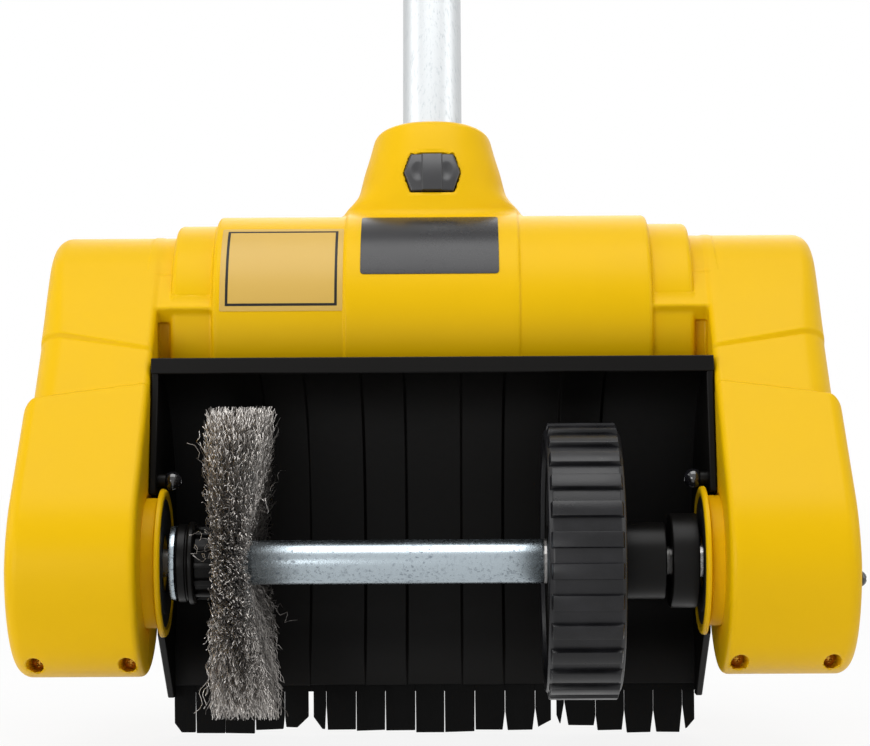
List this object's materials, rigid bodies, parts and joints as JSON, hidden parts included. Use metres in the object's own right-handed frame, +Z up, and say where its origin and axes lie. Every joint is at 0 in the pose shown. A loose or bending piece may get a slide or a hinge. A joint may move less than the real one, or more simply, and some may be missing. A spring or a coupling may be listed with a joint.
{
  "type": "power brush for paving joints",
  "caption": "Hand-held electric power brush: wire brush and support wheel under a hood between two arms, on a telescopic tube with a bow handle and a trigger grip.",
  "frame": {"origin": "middle of the bounding box's foot, under the flap's tips", "axes": "+Z up along the pole's rise, +X to the right seen from the front, +Y to the back, where the user stands"},
  "size_m": [0.3669, 0.5422, 1.2303],
  "materials": {
    "yellow_plastic": "fine moulded satin, saturated warm yellow",
    "black_plastic": "fine moulded satin black",
    "screw_steel": "black oxide screws",
    "flap_rubber": "matt black rubber",
    "tyre_rubber": "satin black with smooth bars",
    "carbon": "pressed carbon, matt",
    "zinc_plate": "bright zinc plate with a bluish speckle",
    "bright_steel": "turned steel",
    "brush_wire": "crimped dark grey steel wire",
    "satin_aluminium": "satin anodised",
    "copper_winding": "wound enamelled copper round a steel core"
  },
  "bodies": {
    "head": {"housing_front": "yellow_plastic", "housing_rear": "yellow_plastic", "left_bearing_flange": "yellow_plastic", "right_bearing_flange": "yellow_plastic", "left_ball_bearing": "bright_steel", "right_ball_bearing": "bright_steel", "hood": "black_plastic", "rubber_flap": "flap_rubber", "flap_clamp_strip": "black_plastic", "nose_screw_1": "screw_steel", "nose_screw_2": "screw_steel", "nose_screw_3": "screw_steel", "nose_screw_4": "screw_steel", "rear_screw_1": "screw_steel", "rear_screw_2": "screw_steel", "left_hood_screw": "screw_steel", "right_hood_screw": "screw_steel", "side_screw": "screw_steel", "motor_stator": "copper_winding", "left_motor_bracket": "satin_aluminium", "right_motor_bracket": "satin_aluminium", "front_carbon_brush": "carbon", "rear_carbon_brush": "carbon", "drive_belt": "flap_rubber", "lower_tube": "satin_aluminium", "telescope_collar": "black_plastic", "button_spring": "bright_steel"},
    "spindle": {"spindle_shaft": "bright_steel", "zinc_washer": "zinc_plate", "brush_hub": "black_plastic", "wire_brush": "brush_wire", "spacer_tube": "zinc_plate", "wheel_bush": "bright_steel", "spindle_collar": "black_plastic", "drive_dog": "black_plastic", "output_shaft": "bright_steel", "driven_pulley": "bright_steel"},
    "wheel": {"wheel_hub": "black_plastic", "wheel_tyre": "tyre_rubber"},
    "countershaft": {"jackshaft": "bright_steel", "reduction_gear": "bright_steel", "drive_pulley": "bright_steel"},
    "armature": {"motor_armature": "bright_steel", "motor_pinion": "bright_steel", "motor_fan": "black_plastic"},
    "release_button": {"tube_release_button": "black_plastic"},
    "tube_pin": {"snap_pin": "bright_steel"},
    "telescope": {"upper_tube": "satin_aluminium", "handle_clamp": "black_plastic", "handle_bolt": "bright_steel", "left_handle_shell": "yellow_plastic", "right_handle_shell": "yellow_plastic", "handle_screw": "screw_steel", "switch_box": "black_plastic", "cord_gland": "black_plastic"},
    "lever": {"clamp_lever": "black_plastic"},
    "bow": {"bow_handle": "black_plastic"},
    "knob": {"handle_knob": "black_plastic"},
    "finger_trigger": {"trigger": "black_plastic"},
    "lock_button": {"lock_off_button": "black_plastic"}
  },
  "joints": [
    {"name": "brush_spin", "type": "hinge", "parent": "head", "child": "spindle", "pos_m": [0, -0.20324, 0.085], "axis": [1, 0, 0], "continuous": true},
    {"name": "wheel_spin", "type": "hinge", "parent": "spindle", "child": "wheel", "pos_m": [0, -0.20324, 0.085], "axis": [1, 0, 0], "continuous": true},
    {"name": "countershaft_spin", "type": "hinge", "parent": "head", "child": "countershaft", "pos_m": [0, -0.13981, 0.15853], "axis": [1, 0, 0], "continuous": true},
    {"name": "armature_spin", "type": "hinge", "parent": "head", "child": "armature", "pos_m": [0, -0.11524, 0.187], "axis": [1, 0, 0], "continuous": true},
    {"name": "release_button_press", "type": "slide", "parent": "head", "child": "release_button", "axis": [0, 0.9455, -0.3256], "range_m": [0, 0.004], "stiffness_N_per_m": 600, "springref_m": -0.002, "deforming": ["button_spring"]},
    {"name": "tube_pin_slide", "type": "slide", "parent": "head", "child": "tube_pin", "axis": [0, 0.9455, -0.3256], "range_m": [0, 0.004]},
    {"name": "telescope_slide", "type": "slide", "parent": "head", "child": "telescope", "axis": [0, 0.3256, 0.9455], "range_m": [-0.14, 0.07]},
    {"name": "clamp_lever_turn", "type": "hinge", "parent": "head", "child": "lever", "pos_m": [0, 0.05161, 0.75143], "axis": [-1, 0, 0], "range_deg": [0, 100]},
    {"name": "bow_tilt", "type": "hinge", "parent": "telescope", "child": "bow", "pos_m": [0, 0.11007, 0.93965], "axis": [1, 0, 0], "range_deg": [-34, 34]},
    {"name": "knob_turn", "type": "hinge", "parent": "telescope", "child": "knob", "pos_m": [0, 0.11007, 0.93965], "axis": [1, 0, 0], "range_deg": [0, 360]},
    {"name": "trigger_pull", "type": "hinge", "parent": "telescope", "child": "finger_trigger", "pos_m": [0, 0.20917, 1.08003], "axis": [-1, 0, 0], "range_deg": [0, 8], "stiffness_Nm_per_rad": 0.6, "springref_deg": -8.59},
    {"name": "lock_button_press", "type": "slide", "parent": "telescope", "child": "lock_button", "axis": [1, 0, 0], "range_m": [0, 0.003], "stiffness_N_per_m": 500, "springref_m": -0.002}
  ],
  "couplings": [
    {"joint": "countershaft_spin", "follows": "brush_spin", "ratio": 2.5455},
    {"joint": "armature_spin", "follows": "brush_spin", "ratio": -10.182},
    {"joint": "tube_pin_slide", "follows": "release_button_press", "ratio": 1}
  ]
}
